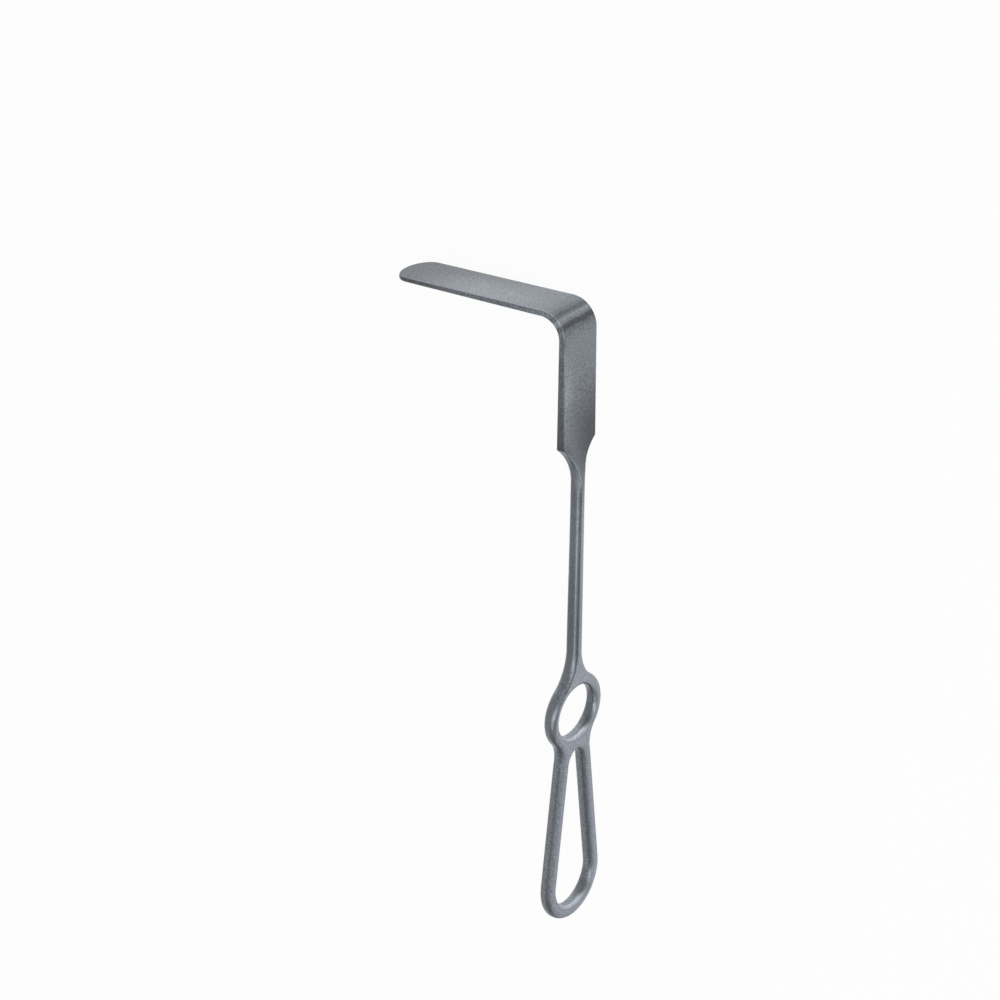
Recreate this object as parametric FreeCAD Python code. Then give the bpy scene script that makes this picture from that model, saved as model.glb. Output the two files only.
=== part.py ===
import FreeCAD, Part
import math
import os

# A hand-held surgical retractor, forged in one piece: blade, square bend, flat shank,
# slim shaft, finger ring and long loop. All sizes are in millimetres.

# Flat strip that makes the blade and the shank, thinner towards the blade's tip
strip_width = 20.0
shank_narrowing = 0.6
blade_reach = 69.9
blade_above_shoulder = 47.2
blade_rise = 0.6
shank_set_back = 0.7
bend_radius = 9.4
tip_depth = 6.4
tip_thickness = 1.3
bend_thickness = 2.05
shoulder_thickness = 3.1
strip_edge_round = 0.35
shoulder_corner_round = 0.8

# Neck, where the strip runs out into the shaft
shoulder_above_ring = 98.8
neck_length = 14.5

# Round-edged bar that makes the shaft, the ring and the loop
bar_thickness = 4.9
shaft_thickness_at_neck = 4.65
bar_proud_of_shank = 1.75
bar_edge_round = 2.1
hole_edge_round = 1.95
shaft_width_at_neck = 4.45
shaft_width_at_ring = 5.2

# Finger ring, an oval centred on the handle's axis
ring_hole_width = 22.9
ring_hole_height = 18.2
ring_bar_width = 4.25
ring_web_round = 15.4

# Loop below the ring: two straight legs around a long hole that widens downwards
ring_to_loop_web = 5.9
loop_hole_top_radius = 4.6
loop_hole_bottom_width = 22.8
loop_hole_bottom_depth = 10.1
loop_hole_length = 60.5
loop_bar_width = 5.0
waist_round = 9.0

# Worked out from the sizes above, in the handle's own frame:
# X points out of the shank's outer face, Y runs across and Z runs up from the ring's centre
half_width = strip_width / 2
shoulder_half_width = (strip_width - shank_narrowing) / 2
shoulder_z = shoulder_above_ring
neck_end_z = shoulder_z - neck_length
blade_z = shoulder_z + blade_above_shoulder
bar_outer_x = bar_proud_of_shank
bar_inner_x = bar_outer_x - bar_thickness
ring_half_width = ring_hole_width / 2 + ring_bar_width
ring_half_height = ring_hole_height / 2 + ring_bar_width
loop_hole_top_z = -ring_hole_height / 2 - ring_to_loop_web
loop_top_centre_z = loop_hole_top_z - loop_hole_top_radius
loop_bottom_centre_z = loop_hole_top_z - loop_hole_length + loop_hole_bottom_depth
loop_top_radius = loop_hole_top_radius + loop_bar_width
loop_half_width = loop_hole_bottom_width / 2 + loop_bar_width
loop_bottom_depth = loop_hole_bottom_depth + loop_bar_width

# Room around the object for the solids that trim it, and the smallest step that counts
margin = 10.0
tiny = 0.01


def vec(x, y, z):
    return FreeCAD.Vector(x, y, z)


def line(start, end):
    return Part.LineSegment(start, end).toShape()


def arc(start, middle, end):
    return Part.Arc(start, middle, end).toShape()


def prism(edges, sweep):
    return Part.Face(Part.Wire(Part.__sortEdges__(edges))).extrude(sweep)


def s_curve(start, start_way, end, end_way):
    """A gentle S that leaves start and reaches end along the given directions."""
    reach = (end - start).Length / 2
    curve = Part.BezierCurve()
    curve.setPoles([start, start + start_way.normalize() * reach, end - end_way.normalize() * reach, end])
    return curve.toShape()


def tangent_arc(start, way, end):
    """The arc that leaves start along the given direction and reaches end."""
    chord = end - start
    way = way.normalize()
    normal = (chord - way * chord.dot(way)).normalize()
    radius = chord.Length ** 2 / (2 * chord.dot(normal))
    centre = start + normal * radius
    middle = ((start + end) * 0.5 - centre).normalize()
    return arc(start, centre + middle * radius, end)


def oval(half_width, half_height, z, x):
    """An ellipse in a plane across X, centred on the handle's axis at height z."""
    ends = [(half_width, vec(x, half_width, z)), (half_height, vec(x, 0, z + half_height))]
    short, long = sorted(ends, key=lambda end: end[0])
    return Part.Ellipse(long[1], short[1], vec(x, 0, z))


def tapered_slot(top_z, top_radius, bottom_z, bottom_half_width, bottom_depth, x):
    """Two straight sides tangent to a small round above and a wide oval below."""
    lean = 0
    for _ in range(20):
        reach = math.hypot(bottom_half_width * math.cos(lean), bottom_depth * math.sin(lean))
        lean = math.asin((reach - top_radius) / (top_z - bottom_z))
    y = top_radius * math.cos(lean)
    z = top_z + top_radius * math.sin(lean)
    top = [vec(x, y, z), vec(x, 0, top_z + top_radius), vec(x, -y, z)]
    y = bottom_half_width ** 2 * math.cos(lean) / reach
    z = bottom_z + bottom_depth ** 2 * math.sin(lean) / reach
    bottom = [vec(x, y, z), vec(x, -y, z)]
    ellipse = oval(bottom_half_width, bottom_depth, bottom_z, x)
    angles = [ellipse.parameter(point) for point in bottom]
    rounds = [Part.ArcOfEllipse(ellipse, *angles), Part.ArcOfEllipse(ellipse, *angles[::-1])]
    end = min((curve.toShape() for curve in rounds), key=lambda edge: edge.BoundBox.ZMin + edge.BoundBox.ZMax)
    return [arc(*top), line(top[2], bottom[1]), end, line(bottom[0], top[0])]


def is_smooth(shape, edge):
    """True where the two faces beside an edge run into each other without an angle."""
    faces = shape.ancestorsOfType(edge, Part.Face)
    if len(faces) < 2:
        return True
    point = edge.valueAt((edge.FirstParameter + edge.LastParameter) / 2)
    normals = [face.normalAt(*face.Surface.parameter(point)) for face in faces]
    return normals[0].getAngle(normals[1]) < math.radians(1)


def sharp_edges(shape):
    return [edge for edge in shape.Edges if not is_smooth(shape, edge)]


def runs_through(edge):
    """True for an edge that runs along X, from the outer face to the inner one."""
    box = edge.BoundBox
    return box.XLength > tiny and box.YLength < tiny and box.ZLength < tiny


def side_view():
    """The side view, swept across: tapered blade, bend, tapered shank, neck and bar."""
    reach_y = max(half_width, ring_half_width, loop_half_width) + margin
    bottom_z = loop_bottom_centre_z - loop_bottom_depth - margin

    def p(x, z):
        return vec(x, -reach_y, z)

    outer_bottom = p(bar_outer_x, bottom_z)
    outer_neck = p(bar_outer_x, neck_end_z)
    outer_shoulder = p(0, shoulder_z)
    outer_corner = p(-shank_set_back, blade_z)
    outer_tip = p(-blade_reach, blade_z + blade_rise)
    inner_tip = p(-blade_reach, blade_z + blade_rise - tip_thickness)
    inner_corner = p(-shank_set_back - bend_thickness, blade_z - bend_thickness)
    inner_shoulder = p(-shoulder_thickness, shoulder_z)
    inner_neck = p(bar_outer_x - shaft_thickness_at_neck, neck_end_z)
    inner_ring = p(bar_inner_x, ring_half_height)
    inner_bottom = p(bar_inner_x, bottom_z)
    solid = prism([
        line(outer_bottom, outer_neck),
        s_curve(outer_neck, outer_neck - outer_bottom, outer_shoulder, outer_corner - outer_shoulder),
        line(outer_shoulder, outer_corner),
        line(outer_corner, outer_tip),
        line(outer_tip, inner_tip),
        line(inner_tip, inner_corner),
        line(inner_corner, inner_shoulder),
        s_curve(inner_shoulder, inner_shoulder - inner_corner, inner_neck, inner_bottom - inner_ring),
        s_curve(inner_neck, inner_bottom - inner_ring, inner_ring, inner_bottom - inner_ring),
        line(inner_ring, inner_bottom),
        line(inner_bottom, outer_bottom),
    ], vec(0, 2 * reach_y, 0))
    for corner, radius in ((outer_corner, bend_radius), (inner_corner, bend_radius - bend_thickness)):
        spot = Part.Vertex(corner + vec(0, reach_y, 0))
        solid = solid.makeFillet(radius, [edge for edge in solid.Edges if edge.distToShape(spot)[0] < tiny])
    return solid


def front_view():
    """The front view, swept through: strip, shoulders, shaft, ring and loop without their holes."""
    x = -blade_reach - margin
    sweep = vec(bar_outer_x + margin - x, 0, 0)

    def p(y, z):
        return vec(x, y, z)

    strip_top = p(half_width, blade_z + margin)
    strip_corner = p(half_width, blade_z)
    shoulder = p(shoulder_half_width, shoulder_z)
    shaft_top = p(shaft_width_at_neck / 2, neck_end_z)
    shaft_bottom = p(shaft_width_at_ring / 2, 0)
    right = [
        line(strip_top, strip_corner),
        line(strip_corner, shoulder),
        tangent_arc(shaft_top, shaft_top - shaft_bottom, shoulder),
        line(shaft_top, shaft_bottom),
    ]
    left = [edge.mirror(vec(0, 0, 0), vec(0, 1, 0)) for edge in right]
    across = [line(p(-point.y, point.z), point) for point in (strip_top, shaft_bottom)]
    ring = prism([oval(ring_half_width, ring_half_height, 0, x).toShape()], sweep)
    loop = prism(tapered_slot(loop_top_centre_z, loop_top_radius,
                              loop_bottom_centre_z, loop_half_width, loop_bottom_depth, x), sweep)
    plate = prism(right + left + across, sweep)
    plate = round_corners(plate, shoulder_corner_round, shoulder_z - tiny, shoulder_z + tiny)
    plate = round_corners(plate.fuse(ring).removeSplitter(), ring_web_round, 0, neck_end_z - tiny)
    return round_corners(plate.fuse(loop).removeSplitter(), waist_round, loop_top_centre_z, 0)


def round_corners(plate, radius, low_z, high_z):
    """Rounds the corners of the plate's outline that lie between two heights."""
    corners = [edge for edge in sharp_edges(plate) if runs_through(edge) and low_z < edge.BoundBox.ZMin < high_z]
    return plate.makeFillet(radius, corners)


def tip_waste():
    """What lies outside the blade's rounded tip."""
    height = blade_above_shoulder + margin
    centre = vec(-blade_reach + tip_depth, 0, shoulder_z)
    along = centre - vec(tip_depth, 0, 0)
    across = centre + vec(0, half_width, 0)
    far, near = (across, along) if tip_depth < half_width else (along, across)
    rounded_end = Part.Face(Part.Wire(Part.Ellipse(far, near, centre).toShape())).extrude(vec(0, 0, height))
    block = Part.makeBox(tip_depth + margin, strip_width + 2 * margin, height,
                         centre - vec(tip_depth + margin, half_width + margin, 0))
    return block.cut(rounded_end)


def round_at(point):
    """Radius of the outline's edges: small on the strip, growing along the neck to the bar's."""
    share = min(max((shoulder_z - point.z) / neck_length, 0.0), 1.0)
    return strip_edge_round + share * (bar_edge_round - strip_edge_round)


def round_outline(blank):
    """Rounds both rims of the outline. The neck's edges set the radius of all that they run into."""
    document = FreeCAD.newDocument()
    rounded = document.addObject("Part::Fillet")
    rounded.Base = document.addObject("Part::Feature")
    rounded.Base.Shape = blank
    rounds = []
    for number, edge in enumerate(blank.Edges, 1):
        ends = [edge.firstVertex(True).Point, edge.lastVertex(True).Point]
        low_z, high_z = sorted(point.z for point in ends)
        if low_z < neck_end_z + tiny < high_z and not is_smooth(blank, edge):
            rounds.append((number, round_at(ends[0]), round_at(ends[1])))
    rounded.Edges = rounds
    document.recompute()
    return rounded.Shape


def cut_holes(body):
    """Cuts the ring's hole and the loop's hole, and rounds both rims of each."""
    x = bar_inner_x - margin
    sweep = vec(bar_thickness + 2 * margin, 0, 0)
    ring_hole = prism([oval(ring_hole_width / 2, ring_hole_height / 2, 0, x).toShape()], sweep)
    loop_hole = prism(tapered_slot(loop_top_centre_z, loop_hole_top_radius, loop_bottom_centre_z,
                                   loop_hole_bottom_width / 2, loop_hole_bottom_depth, x), sweep)
    body = body.cut(ring_hole).cut(loop_hole)
    return body.makeFillet(hole_edge_round, sharp_edges(body)).Solids[0]


def lay_down(body):
    """Turns the retractor on its side, as it rests: on the ring's side and the blade's lower edge.

    Then X runs along the handle towards the blade, Y is the way the blade points and Z is up.
    """
    on_side = FreeCAD.Rotation(vec(0, -1, 0), vec(0, 0, -1), vec(1, 0, 0), "ZXY")
    straight = blade_reach - tip_depth - shank_set_back
    edge_x = blade_z + blade_rise * straight / (blade_reach - shank_set_back) - strip_edge_round
    edge_z = -half_width + strip_edge_round
    distance = math.hypot(edge_x, edge_z)
    lean = math.asin((ring_half_width - strip_edge_round) / distance) + math.atan2(edge_z, edge_x)
    level = FreeCAD.Rotation(vec(0, 1, 0), math.degrees(lean))
    body.Placement = FreeCAD.Placement(vec(0, 0, 0), level.multiply(on_side))
    box = body.optimalBoundingBox(False)
    body.translate(vec(-box.Center.x, -box.Center.y, ring_half_width))
    return body


def retractor():
    blank = side_view().common(front_view()).cut(tip_waste())
    return lay_down(cut_holes(round_outline(blank)))


if __name__ == "__main__":
    os.makedirs("parts", exist_ok=True)
    retractor().exportStep("parts/retractor.step")
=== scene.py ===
import math

import bpy
from bpy.props import FloatProperty, FloatVectorProperty, PointerProperty
from mathutils import Matrix, Vector


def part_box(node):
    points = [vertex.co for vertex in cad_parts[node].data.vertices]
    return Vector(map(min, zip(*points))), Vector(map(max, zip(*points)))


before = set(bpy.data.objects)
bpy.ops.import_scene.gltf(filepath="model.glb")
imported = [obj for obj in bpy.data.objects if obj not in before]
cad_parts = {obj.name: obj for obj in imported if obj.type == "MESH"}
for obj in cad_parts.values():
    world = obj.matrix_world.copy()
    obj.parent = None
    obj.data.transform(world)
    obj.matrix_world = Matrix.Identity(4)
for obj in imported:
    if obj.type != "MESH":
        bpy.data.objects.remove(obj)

bl_info = {
    "name": "Hand-held surgical retractor",
    "version": (1, 0, 0),
    "blender": (4, 5, 0),
    "location": "3D View > Sidebar > Retractor",
    "description": "Satin steel finish, lamps, floor and camera for a hand-held surgical retractor",
    "category": "Object",
}

NODE = "retractor"
CAD_LOW, CAD_HIGH = (Vector(corner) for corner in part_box(NODE))


# Sizes and colours that a user would change

class SatinSteel(bpy.types.PropertyGroup):
    """Finish of the forged and ground steel, and the light and shade painted into its colour"""
    colour: FloatVectorProperty(
        name="Colour", description="Colour of the bare satin steel",
        subtype="COLOR", size=3, min=0, max=1, default=(0.289, 0.316, 0.350))
    # Ground flat faces, painted lighter and bluer as a sheen
    ground_and_sheen_colour: FloatVectorProperty(
        name="Ground colour",
        description="Colour of the handle's flat faces, which are ground lighter",
        subtype="COLOR", size=3, min=0, max=1, default=(0.325, 0.347, 0.402))
    roughness: FloatProperty(
        name="Roughness", description="How far the satin finish spreads a reflection",
        subtype="FACTOR", min=0.1, max=0.8, default=0.37)
    loop_roughness: FloatProperty(
        name="Loop roughness",
        description="How far the coarser finish of the loop spreads a reflection",
        subtype="FACTOR", min=0.1, max=0.8, default=0.50)
    grain_size: FloatProperty(
        name="Grain size", description="Width of one spot of the blasted grain",
        subtype="DISTANCE", unit="LENGTH", min=0.00005, max=0.002, default=0.00055)
    grain_depth: FloatProperty(
        name="Grain depth", description="Height of the blasted grain",
        subtype="DISTANCE", unit="LENGTH", min=0, max=0.0001, default=0.000005)
    grain_contrast: FloatProperty(
        name="Grain contrast", description="How much lighter and darker the grain's spots are",
        subtype="FACTOR", min=0, max=3, default=1.9)
    # Painted light and shade: strength of the spots that stand in for highlights, reflections and
    # shade
    painted_light_spots: FloatProperty(
        name="Mottling",
        description="Strength of the lighter and darker places left by grinding and use",
        subtype="FACTOR", min=0, max=1, default=1.0)
    # Painted reflection: strength of the darker and lighter bands across the bend
    painted_bend_bands: FloatProperty(
        name="Bend marks",
        description="Strength of the marks that the bending left across the bend",
        subtype="FACTOR", min=0, max=1, default=1.0)
    # Painted highlights on the edges and painted shade on the rounded sides
    painted_edge_shade: FloatProperty(
        name="Edge wear",
        description="Strength of the brighter worn edges and of the darker rounded sides",
        subtype="FACTOR", min=0, max=1, default=1.0)
    line_length: FloatProperty(
        name="Grinding line length", description="Length of the faint lines left by grinding",
        subtype="DISTANCE", unit="LENGTH", min=0.001, max=0.1, default=0.012)
    line_depth: FloatProperty(
        name="Grinding line depth", description="Depth of the faint lines left by grinding",
        subtype="DISTANCE", unit="LENGTH", min=0, max=0.0001, default=0.000002)


class Studio(bpy.types.PropertyGroup):
    """Floor, lamps and camera"""
    floor_size: FloatProperty(
        name="Floor size", description="Side of the square floor",
        subtype="DISTANCE", unit="LENGTH", min=0.5, max=20, default=4.0)
    floor_shade: FloatProperty(
        name="Floor shading", description="Share of the floor's look that takes light and shadow",
        subtype="FACTOR", min=0, max=1, default=0.05)
    sky: FloatVectorProperty(
        name="Sky", description="Colour and level of the light from all around",
        subtype="COLOR", size=3, min=0, max=1, default=(0.5, 0.5, 0.5))
    lamp_level: FloatProperty(
        name="Lamp level", description="Scales the power of all lamps together",
        min=0, max=10, default=1.0)
    view_distance: FloatProperty(
        name="Camera distance", description="Distance from the camera to the point it looks at",
        subtype="DISTANCE", unit="LENGTH", min=0.2, max=20, default=1.0522)


# Lengths and places below are in metres. X runs along the handle towards the blade,
# Y is the way the blade points and Z is up. The handle's outer flat faces look along -Y.

# Painted light and shade: lighter and darker spots that stand in for highlights, reflections
# and shade on the steel; centre, reach along each axis and how much lighter, 0 being plain
PAINTED_LIGHT_SPOTS = (
    ((0.113, 0.001, 0.017), (0.030, 0.030, 0.016), 0.17),
    ((0.113, 0.006, 0.000), (0.030, 0.034, 0.012), -0.16),
    ((0.113, 0.038, 0.010), (0.030, 0.038, 0.060), -0.42),
    ((0.085, -0.034, 0.010), (0.060, 0.025, 0.060), -0.30),
    ((0.088, -0.034, 0.0215), (0.016, 0.020, 0.009), 0.25),
    ((0.107, -0.031, 0.0215), (0.014, 0.016, 0.003), 0.45),
    ((0.108, -0.027, 0.0203), (0.014, 0.022, 0.0018), 0.70),
    ((0.1073, -0.0315, 0.0202), (0.0019, 0.0019, 0.0010), 1.00),
    ((0.1045, -0.0336, 0.0200), (0.0075, 0.0024, 0.0014), -0.75),
    ((0.065, -0.034, 0.003), (0.030, 0.020, 0.024), -0.50),
    ((0.064, -0.033, 0.021), (0.006, 0.010, 0.006), -0.25),
    ((0.002, -0.034, 0.0157), (0.034, 0.012, 0.012), -0.22),
    ((-0.0405, -0.0350, 0.0085), (0.003, 0.0015, 0.006), -0.35),
    ((-0.104, -0.034, 0.006), (0.012, 0.010, 0.008), 0.18),
    ((-0.1065, -0.0356, 0.0100), (0.0045, 0.003, 0.005), -0.28),
)

# Places rubbed smooth by the fingers, where the grain fades: centre, reach along each axis
# and share
RUBBED = (
    ((-0.030, -0.0335, 0.031), (0.013, 0.006, 0.006), 0.9),
    ((-0.033, -0.0345, 0.0045), (0.013, 0.005, 0.006), 0.8),
    ((-0.013, -0.0333, 0.018), (0.014, 0.005, 0.005), 0.7),
    ((0.056, -0.0345, 0.014), (0.014, 0.006, 0.007), 0.5),
    ((0.018, -0.0338, 0.016), (0.040, 0.006, 0.008), 0.5),
    ((-0.040, -0.036, 0.014), (0.006, 0.004, 0.016), 0.9),
    ((-0.107, -0.036, 0.017), (0.007, 0.004, 0.016), 0.9),
)

# Painted highlights and shade, 1 being plain, by the part of the normal that points across
# the strip: 0 on its faces and 1 on its edges
STRIP_EDGE = ((0.0, 1.0), (0.18, 1.0), (0.35, 0.88), (0.75, 0.80), (0.93, 0.83), (1.0, 0.83))

# Painted highlights and shade by the part of the normal that points out of the handle: 1 on
# its outer flat, 0.5 on its sides and 0 on its inner flat
NECK_EDGE = (
    (0.0, 1.0), (0.35, 1.2), (0.50, 1.45), (0.64, 1.45), (0.74, 1.0), (0.80, 0.95),
    (0.86, 1.35), (0.905, 2.1), (0.935, 1.7), (0.960, 1.2), (0.980, 1.0), (1.0, 0.96),
)
BAR_EDGE = (
    (0.0, 1.0), (0.35, 1.0), (0.50, 0.94), (0.75, 0.88), (0.87, 0.84), (0.925, 0.54),
    (0.975, 0.50), (0.992, 1.0), (1.0, 1.0),
)
BAR_FAR_EDGE = ((0.0, 0.85), (0.50, 0.85), (0.62, 0.92), (0.80, 0.98), (1.0, 1.0))
BAR_LOWER_EDGE = (
    (0.0, 1.1), (0.35, 1.1), (0.45, 1.3), (0.50, 1.12), (0.54, 0.86), (0.60, 0.70),
    (0.68, 0.56), (0.75, 0.54), (0.82, 0.60), (0.88, 0.82), (0.93, 0.98), (0.965, 0.90),
    (1.0, 1.0),
)
# Painted highlights on the lower rims of the ring and the loop
RIM_EDGE = (
    (0.0, 1.1), (0.50, 1.15), (0.60, 1.50), (0.68, 2.1), (0.76, 2.5), (0.83, 2.1),
    (0.875, 1.8), (0.925, 1.6), (0.95, 1.35), (0.98, 1.15), (1.0, 1.0),
)

# Colour ramps hold levels up to 1, so a shade is stored as its share of the highest one
HIGHEST_SHADE = 4.0

# Where one kind of edge gives way to the next, by place: from X to X along the handle, and
# from Z to Z for the bar's upper edges
LOOP_TO_BAR = (-0.040, -0.028)
BAR_TO_NECK = (0.047, 0.053)
NECK_TO_STRIP = (0.0645, 0.0665)
UPPER_PLACES = (0.0105, 0.0135)

# The same by the way a place faces: by the normal's X for the first and by its Z for the others
LOWER_TO_RIM = (0.15, 0.35)
RIM_TO_FAR = (0.15, 0.44)
UPPER_FACING = (0.0, 0.25)

# The handle's flats, ground and painted lighter as a sheen, lie where the normal's Y and the
# place's X pass these
GROUND_FACING = (-0.97, -0.995)
GROUND_PLACES = (0.058, 0.045)

# Painted reflection across the bend, darker and lighter bands: distance from the bend's middle
# towards the blade, and shade, 1 being plain, and how far they waver
BEND_CENTRE = (0.1033, -0.0240)
PAINTED_BEND_BANDS = (
    (-0.0080, 1.00), (-0.0062, 0.94), (-0.0046, 0.82), (-0.0035, 0.66), (-0.0025, 0.36),
    (-0.0017, 0.42), (-0.0006, 0.95), (0.0004, 1.20), (0.0013, 0.68), (0.0021, 0.56),
    (0.0032, 0.82), (0.0045, 0.97), (0.0080, 1.00),
)
BEND_WAVER = 0.0012

# Wide soft patches in the finish, and how much they change its shade and its roughness
PATCH_SIZE = 0.011
PATCH_SHADE = 0.08
PATCH_ROUGHNESS = 0.10

# The coarser finish of the loop sets in between these X, and the grinding lines turn to run
# along the blade between these distances from the blade's outer face
COARSE_PLACES = (-0.035, -0.055)
LINES_TURN = (0.006, 0.003)

# The middle of what a noise gives
NOISE_MIDDLE = 0.5

# Lamps: name, direction from the object, distance, width, height, brightness
LAMPS = (
    ("side softbox", (0.070, -0.806, 0.588), 1.2, 0.36, 1.60, 2.3),
    ("back softbox", (-0.400, -0.540, 0.741), 1.0, 0.28, 0.28, 2.6),
)

# Floor: how far it lies under the object, and its white
FLOOR_GAP = 0.0002
FLOOR_WHITE = 0.95

# The camera is placed so that the retractor's outline falls as in the photograph. Angles are
# in degrees, lens and sensor in millimetres.
VIEW_TARGET = Vector((0.02481, -0.02696, 0.02822))
VIEW_AZIMUTH = 41.629
VIEW_ELEVATION = 48.779
VIEW_ROLL = -124.238
VIEW_LENS = 113.494
VIEW_SENSOR = 36
VIEW_SHIFT = (-0.03601, 0.06731)
VIEW_NEAREST = 0.01


# Materials

def add(nodes, kind, **sockets):
    """Adds a node and sets its input sockets by name."""
    node = nodes.new(kind)
    for name, value in sockets.items():
        node.inputs[name.replace("_", " ")].default_value = value
    return node


def maths(tree, operation, *values):
    """Joins up to three values, each a socket or a number, by a Math node."""
    node = tree.nodes.new("ShaderNodeMath")
    node.operation = operation
    for socket, value in zip(node.inputs, values):
        if isinstance(value, (int, float)):
            socket.default_value = value
        else:
            tree.links.new(value, socket)
    return node.outputs[0]


def new_material(name):
    """A new material and its node tree, which is empty."""
    material = bpy.data.materials.new(name)
    material.use_nodes = True
    material.node_tree.nodes.clear()
    return material, material.node_tree


def split(tree, vector):
    """The X, Y and Z sockets of a vector, by name."""
    apart = tree.nodes.new("ShaderNodeSeparateXYZ")
    tree.links.new(vector, apart.inputs[0])
    return apart.outputs


def noise(tree, coordinates, size, detail, roughness=0.5):
    """Noise whose spots are about as wide as size."""
    node = add(tree.nodes, "ShaderNodeTexNoise",
               Scale=1 / size, Detail=detail, Roughness=roughness)
    tree.links.new(coordinates, node.inputs["Vector"])
    return node.outputs["Fac"]


def varied(tree, pattern, middle, amount):
    """A level that a noise pattern spreads by an amount around its middle."""
    return maths(tree, "MULTIPLY_ADD", pattern, amount, middle - amount * NOISE_MIDDLE)


def stretched(tree, coordinates, stretch):
    """Coordinates pressed together along the axes where the pattern is to be long."""
    node = tree.nodes.new("ShaderNodeMapping")
    node.inputs["Scale"].default_value = stretch
    tree.links.new(coordinates, node.inputs["Vector"])
    return node.outputs["Vector"]


def ranged(tree, value, interpolation, **ends):
    """A value brought from one range to another."""
    step = add(tree.nodes, "ShaderNodeMapRange", **ends)
    step.interpolation_type = interpolation
    tree.links.new(value, step.inputs["Value"])
    return step.outputs["Result"]


def smooth(tree, value, start, end):
    """0 up to the start, 1 from the end on and smooth between. The start may be the higher."""
    return ranged(tree, value, "SMOOTHSTEP", From_Min=start, From_Max=end)


def blend(tree, factor, first, second):
    """The first level where the factor is 0, and the second where it is 1."""
    mix = tree.nodes.new("ShaderNodeMix")
    for name, value in (("Factor", factor), ("A", first), ("B", second)):
        tree.links.new(value, mix.inputs[name])
    return mix.outputs["Result"]


def ramped(tree, value, stops, strength):
    """Shade read from a colour ramp with the given places and shades, 1 being plain."""
    ramp = tree.nodes.new("ShaderNodeValToRGB")
    ramp.color_ramp.interpolation = "EASE"
    elements = ramp.color_ramp.elements
    elements.remove(elements[1])
    for number, (where, shade) in enumerate(stops):
        element = elements.new(where) if number else elements[0]
        element.position = where
        level = (1 + (shade - 1) * strength) / HIGHEST_SHADE
        element.color = (level, level, level, 1)
    tree.links.new(value, ramp.inputs[0])
    return maths(tree, "MULTIPLY", ramp.outputs["Color"], HIGHEST_SHADE)


def soft_spot(tree, place, centre, reach):
    """1 at the centre, falling softly to 0 at the given reach along each axis."""
    moved = tree.nodes.new("ShaderNodeMapping")
    moved.vector_type = "TEXTURE"
    moved.inputs["Location"].default_value = centre
    moved.inputs["Scale"].default_value = reach
    tree.links.new(place, moved.inputs["Vector"])
    away = tree.nodes.new("ShaderNodeVectorMath")
    away.operation = "LENGTH"
    tree.links.new(moved.outputs["Vector"], away.inputs[0])
    return ranged(tree, away.outputs["Value"], "SMOOTHSTEP", To_Min=1.0, To_Max=0.0)


def spotted(tree, place, spots, plain, strength):
    """Sums soft spots on a plain level."""
    level = plain
    for centre, reach, amount in spots:
        spot = maths(tree, "MULTIPLY", soft_spot(tree, place, centre, reach), amount * strength)
        level = maths(tree, "ADD", spot, level)
    return level


def painted_bend_shade(tree, place, pattern, strength):
    """Painted reflection bands across the bend, by the distance from the bend's middle."""
    diagonal = math.sqrt(0.5)
    along = tree.nodes.new("ShaderNodeVectorMath")
    along.operation = "DOT_PRODUCT"
    along.inputs[1].default_value = (diagonal, diagonal, 0)
    tree.links.new(place, along.inputs[0])
    middle = sum(BEND_CENTRE) * diagonal
    reach = PAINTED_BEND_BANDS[-1][0]
    waver = maths(tree, "MULTIPLY", maths(tree, "SUBTRACT", pattern, NOISE_MIDDLE), BEND_WAVER)
    distance = maths(tree, "SUBTRACT", along.outputs["Value"], middle)
    distance = maths(tree, "ADD", distance, waver)
    share = maths(tree, "MULTIPLY_ADD", distance, 0.5 / reach, 0.5)
    stops = [((where + reach) / (2 * reach), shade) for where, shade in PAINTED_BEND_BANDS]
    return ramped(tree, share, stops, strength)


def edges(tree, at, faces, strength):
    """Painted highlights on the edges and painted shade on the rounded sides, by the way a place
    faces.
    """
    across = maths(tree, "ABSOLUTE", faces["Z"])
    outwards = maths(tree, "MULTIPLY_ADD", faces["Y"], -0.5, 0.5)
    strip = ramped(tree, across, STRIP_EDGE, strength)
    neck, upper, far, lower, rim = (
        ramped(tree, outwards, stops, strength)
        for stops in (NECK_EDGE, BAR_EDGE, BAR_FAR_EDGE, BAR_LOWER_EDGE, RIM_EDGE))
    rim = blend(tree, smooth(tree, faces["Z"], *RIM_TO_FAR), rim, far)
    lower = blend(tree, smooth(tree, faces["X"], *LOWER_TO_RIM), lower, rim)
    near = maths(tree, "MULTIPLY", smooth(tree, faces["Z"], *UPPER_FACING),
                 smooth(tree, at["Z"], *UPPER_PLACES))
    bar = blend(tree, near, far, upper)
    bar = blend(tree, smooth(tree, at["X"], *LOOP_TO_BAR), lower, bar)
    bar = blend(tree, smooth(tree, at["X"], *BAR_TO_NECK), bar, neck)
    return blend(tree, smooth(tree, at["X"], *NECK_TO_STRIP), bar, strip)


def ground(tree, at, faces):
    """1 on the handle's outer flat faces, 0 elsewhere."""
    return maths(tree, "MULTIPLY", smooth(tree, faces["Y"], *GROUND_FACING),
                 smooth(tree, at["X"], *GROUND_PLACES))


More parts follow.
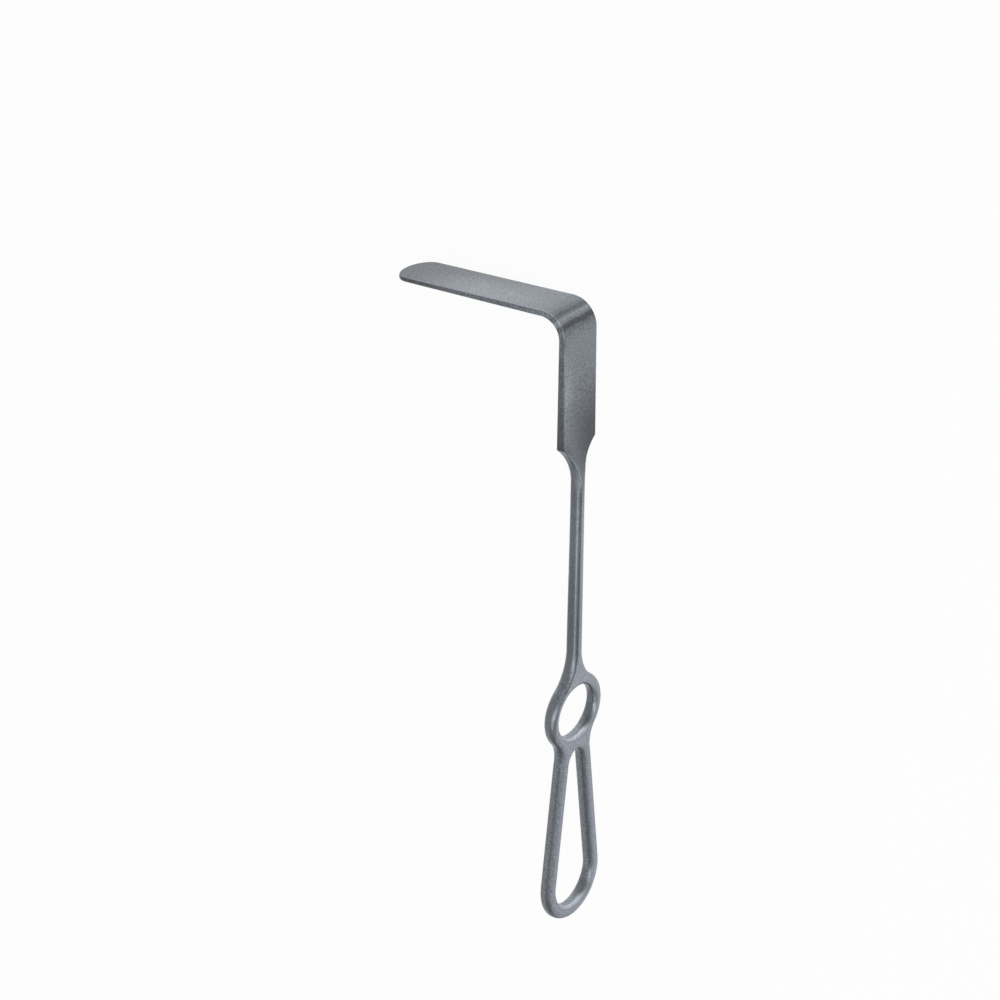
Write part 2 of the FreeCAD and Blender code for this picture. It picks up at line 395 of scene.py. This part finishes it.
def satin_steel(finish):
    """Blasted satin steel: a fine even grain over faint grinding lines that follow the strip, with
    painted light and shade in its colour.
    """
    material, tree = new_material("Satin steel")
    nodes, links = tree.nodes, tree.links
    source = nodes.new("ShaderNodeTexCoord")
    place = source.outputs["Object"]
    at, faces = split(tree, place), split(tree, source.outputs["Normal"])

    # blasted grain, which fades where the steel is rubbed, and wide patches
    grain = noise(tree, place, finish.grain_size, detail=2.0, roughness=0.6)
    kept = maths(tree, "SUBTRACT", 1.0, spotted(tree, place, RUBBED, 0.0, 1.0))
    grain = maths(tree, "SUBTRACT", grain, NOISE_MIDDLE)
    grain = maths(tree, "MULTIPLY_ADD", grain, kept, NOISE_MIDDLE)
    patches = noise(tree, place, PATCH_SIZE, detail=3.0, roughness=0.55)

    # grinding lines: along the handle, and along the blade past the bend
    ratio = finish.grain_size / finish.line_length
    along_handle, along_blade = (
        noise(tree, stretched(tree, place, stretch), finish.grain_size, detail=1.0)
        for stretch in ((ratio, 1, 1), (1, ratio, 1)))
    turn_start, turn_end = (CAD_HIGH.x - distance for distance in LINES_TURN)
    on_blade = ranged(tree, at["X"], "LINEAR", From_Min=turn_start, From_Max=turn_end)
    lines = blend(tree, on_blade, along_handle, along_blade)

    # colour: bare, or ground with a painted sheen, times all shades, painted light and shade among
    # them
    shade = varied(tree, grain, 1, finish.grain_contrast)
    for other in (varied(tree, patches, 1, PATCH_SHADE),
                  spotted(tree, place, PAINTED_LIGHT_SPOTS, 1.0, finish.painted_light_spots),
                  painted_bend_shade(tree, place, patches, finish.painted_bend_bands),
                  edges(tree, at, faces, finish.painted_edge_shade)):
        shade = maths(tree, "MULTIPLY", shade, other)
    bare = nodes.new("ShaderNodeMix")
    bare.data_type = "RGBA"
    links.new(ground(tree, at, faces), bare.inputs["Factor"])
    bare.inputs["A"].default_value = (*finish.colour, 1)
    bare.inputs["B"].default_value = (*finish.ground_and_sheen_colour, 1)
    colour = nodes.new("ShaderNodeVectorMath")
    colour.operation = "SCALE"
    links.new(bare.outputs["Result"], colour.inputs[0])
    links.new(shade, colour.inputs["Scale"])

    # roughness: coarser on the loop
    coarse = smooth(tree, at["X"], *COARSE_PLACES)
    coarse = maths(tree, "MULTIPLY", coarse, finish.loop_roughness - finish.roughness)
    dull = varied(tree, patches, finish.roughness, PATCH_ROUGHNESS)
    dull = maths(tree, "ADD", dull, coarse)

    deep = add(nodes, "ShaderNodeBump", Strength=1.0, Distance=finish.grain_depth)
    links.new(grain, deep.inputs["Height"])
    fine = add(nodes, "ShaderNodeBump", Strength=1.0, Distance=finish.line_depth)
    links.new(lines, fine.inputs["Height"])
    links.new(deep.outputs["Normal"], fine.inputs["Normal"])

    shader = add(nodes, "ShaderNodeBsdfPrincipled", Metallic=1.0)
    links.new(colour.outputs[0], shader.inputs["Base Color"])
    links.new(dull, shader.inputs["Roughness"])
    links.new(fine.outputs["Normal"], shader.inputs["Normal"])
    links.new(shader.outputs[0], nodes.new("ShaderNodeOutputMaterial").inputs["Surface"])
    return material


def floor_white(share):
    """White to the camera and in reflections, and still darkened by the object's shadow."""
    material, tree = new_material("Floor white")
    nodes, links = tree.nodes, tree.links
    path = nodes.new("ShaderNodeLightPath")
    seen = maths(tree, "MAXIMUM", path.outputs["Is Camera Ray"], path.outputs["Is Glossy Ray"])
    seen = maths(tree, "MAXIMUM", seen, path.outputs["Is Transmission Ray"])
    factor = maths(tree, "MULTIPLY", seen, 1 - share)
    lit = add(nodes, "ShaderNodeBsdfDiffuse", Color=(FLOOR_WHITE, FLOOR_WHITE, FLOOR_WHITE, 1))
    white = add(nodes, "ShaderNodeEmission", Color=(1, 1, 1, 1), Strength=1.0)
    mix = nodes.new("ShaderNodeMixShader")
    links.new(factor, mix.inputs[0])
    links.new(lit.outputs[0], mix.inputs[1])
    links.new(white.outputs[0], mix.inputs[2])
    links.new(mix.outputs[0], nodes.new("ShaderNodeOutputMaterial").inputs["Surface"])
    return material


# Lamps and camera

def put_in_scene(name, data, location, rotation):
    """Puts a lamp or a camera into the scene."""
    holder = bpy.data.objects.new(name, data)
    bpy.context.scene.collection.objects.link(holder)
    holder.location = location
    holder.rotation_mode = "QUATERNION"
    holder.rotation_quaternion = rotation
    return holder


def add_softbox(name, towards, distance, width, height, level, target):
    """An area lamp that lights the target from a direction. Its level is its face's brightness."""
    towards = Vector(towards).normalized()
    lamp = bpy.data.lights.new(name, "AREA")
    lamp.shape = "RECTANGLE"
    lamp.size = width
    lamp.size_y = height
    lamp.energy = level * math.pi * width * height
    put_in_scene(name, lamp, target + towards * distance, (-towards).to_track_quat("-Z", "Y"))


def add_camera(distance):
    """The camera, at a distance from the point that it looks at."""
    turned = (Matrix.Rotation(math.radians(VIEW_AZIMUTH), 3, "Z")
              @ Matrix.Rotation(math.radians(90 - VIEW_ELEVATION), 3, "X")
              @ Matrix.Rotation(math.radians(VIEW_ROLL), 3, "Z"))
    camera = bpy.data.cameras.new("camera")
    camera.lens = VIEW_LENS
    camera.sensor_width = VIEW_SENSOR
    camera.shift_x, camera.shift_y = VIEW_SHIFT
    camera.clip_start = VIEW_NEAREST
    location = VIEW_TARGET + turned @ Vector((0, 0, distance))
    bpy.context.scene.camera = put_in_scene("camera", camera, location, turned.to_quaternion())


# Operators and panel

class OBJECT_OT_retractor_steel(bpy.types.Operator):
    """Gives the retractor its satin steel"""
    bl_idname = "object.retractor_steel"
    bl_label = "Satin steel"
    bl_options = {"REGISTER", "UNDO"}

    def execute(self, context):
        steel = satin_steel(context.scene.retractor_steel)
        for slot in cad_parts[NODE].material_slots:
            slot.material = steel
        return {"FINISHED"}


class SCENE_OT_retractor_studio(bpy.types.Operator):
    """Sets up the floor, the lamps and the camera"""
    bl_idname = "scene.retractor_studio"
    bl_label = "Studio"
    bl_options = {"REGISTER", "UNDO"}

    def execute(self, context):
        studio = context.scene.retractor_studio
        bpy.ops.object.select_all(action="DESELECT")
        bpy.ops.mesh.primitive_plane_add(
            size=studio.floor_size, location=(0, 0, CAD_LOW.z - FLOOR_GAP))
        floor = context.active_object
        floor.name = "floor"
        bpy.ops.object.transform_apply(location=True, rotation=True, scale=True)
        floor.data.materials.append(floor_white(studio.floor_shade))

        world = bpy.data.worlds.new("Sky")
        world.use_nodes = True
        background = world.node_tree.nodes["Background"]
        background.inputs["Color"].default_value = (*studio.sky, 1)
        background.inputs["Strength"].default_value = 1.0
        context.scene.world = world

        centre = (CAD_LOW + CAD_HIGH) / 2
        for name, towards, distance, width, height, level in LAMPS:
            add_softbox(name, towards, distance, width, height,
                        level * studio.lamp_level, centre)
        add_camera(studio.view_distance)
        context.scene.view_settings.view_transform = "Standard"
        return {"FINISHED"}


class VIEW3D_PT_retractor(bpy.types.Panel):
    """Lists the finish and the studio"""
    bl_idname = "VIEW3D_PT_retractor"
    bl_label = "Retractor"
    bl_space_type = "VIEW_3D"
    bl_region_type = "UI"
    bl_category = "Retractor"

    def draw(self, context):
        scene = context.scene
        for group, operator in ((scene.retractor_steel, OBJECT_OT_retractor_steel),
                                (scene.retractor_studio, SCENE_OT_retractor_studio)):
            box = self.layout.box()
            for name in group.bl_rna.properties.keys():
                if name not in ("rna_type", "name"):
                    box.prop(group, name)
            box.operator(operator.bl_idname)


CLASSES = (SatinSteel, Studio, OBJECT_OT_retractor_steel, SCENE_OT_retractor_studio,
           VIEW3D_PT_retractor)


def register():
    for kind in CLASSES:
        bpy.utils.register_class(kind)
    bpy.types.Scene.retractor_steel = PointerProperty(type=SatinSteel)
    bpy.types.Scene.retractor_studio = PointerProperty(type=Studio)


def unregister():
    del bpy.types.Scene.retractor_studio
    del bpy.types.Scene.retractor_steel
    for kind in reversed(CLASSES):
        bpy.utils.unregister_class(kind)


def main():
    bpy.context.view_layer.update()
    register()
    bpy.ops.object.retractor_steel()
    bpy.ops.scene.retractor_studio()


if __name__ == "__main__":
    main()
